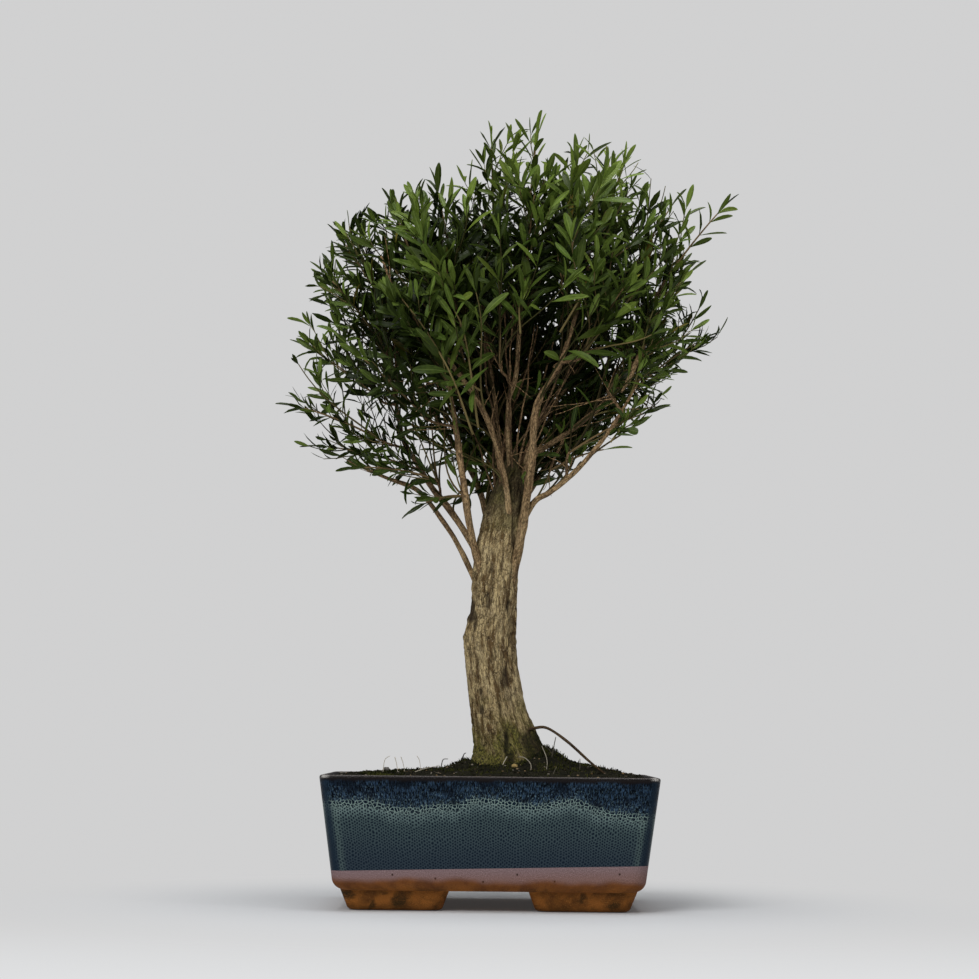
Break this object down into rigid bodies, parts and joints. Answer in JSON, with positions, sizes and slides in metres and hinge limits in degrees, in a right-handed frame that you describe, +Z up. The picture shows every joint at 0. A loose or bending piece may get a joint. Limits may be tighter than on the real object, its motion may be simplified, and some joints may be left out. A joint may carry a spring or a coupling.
{
  "type": "brush cherry bonsai in its pot",
  "caption": "Upright brush cherry bonsai with a fan of limbs and small lance-shaped leaves, planted in a deep rectangular glazed pot on feet.",
  "frame": {"origin": "middle of the whole tree's footprint, on the ground", "axes": "+X to the right of the front, +Y to the back, +Z up"},
  "size_m": [0.3596, 0.2426, 0.6146],
  "materials": {
    "pot": "navy and pale celadon drip glaze over a bare orange-brown clay foot",
    "screen": "black drain screen",
    "soil": "dark gritty soil under moss",
    "pebble": "dull river stone",
    "bark": "beige-brown bark with fine upright cracks",
    "leaves": "small green leaves with a slight gloss"
  },
  "bodies": {
    "root": {"pot": "pot", "drain_screen_left": "screen", "drain_screen_right": "screen", "soil": "soil", "pebble_tan": "pebble", "pebble_grey": "pebble", "trunk_and_limbs": "bark", "spray_01": "leaves", "spray_02": "leaves", "spray_03": "leaves", "spray_04": "leaves", "spray_05": "leaves", "spray_06": "leaves", "spray_07": "leaves", "spray_08": "leaves", "spray_09": "leaves", "spray_10": "leaves", "spray_11": "leaves", "spray_12": "leaves", "spray_13": "leaves", "spray_14": "leaves", "spray_15": "leaves", "spray_16": "leaves", "spray_17": "leaves", "spray_18": "leaves", "spray_19": "leaves", "spray_20": "leaves", "spray_21": "leaves", "spray_22": "leaves", "spray_23": "leaves", "spray_24": "leaves", "spray_25": "leaves", "spray_26": "leaves", "spray_27": "leaves", "spray_28": "leaves", "spray_29": "leaves", "spray_30": "leaves", "spray_31": "leaves", "spray_32": "leaves", "spray_33": "leaves", "spray_34": "leaves", "spray_35": "leaves", "spray_36": "leaves", "spray_37": "leaves", "spray_38": "leaves", "spray_39": "leaves", "spray_40": "leaves", "spray_41": "leaves"}
  },
  "joints": []
}
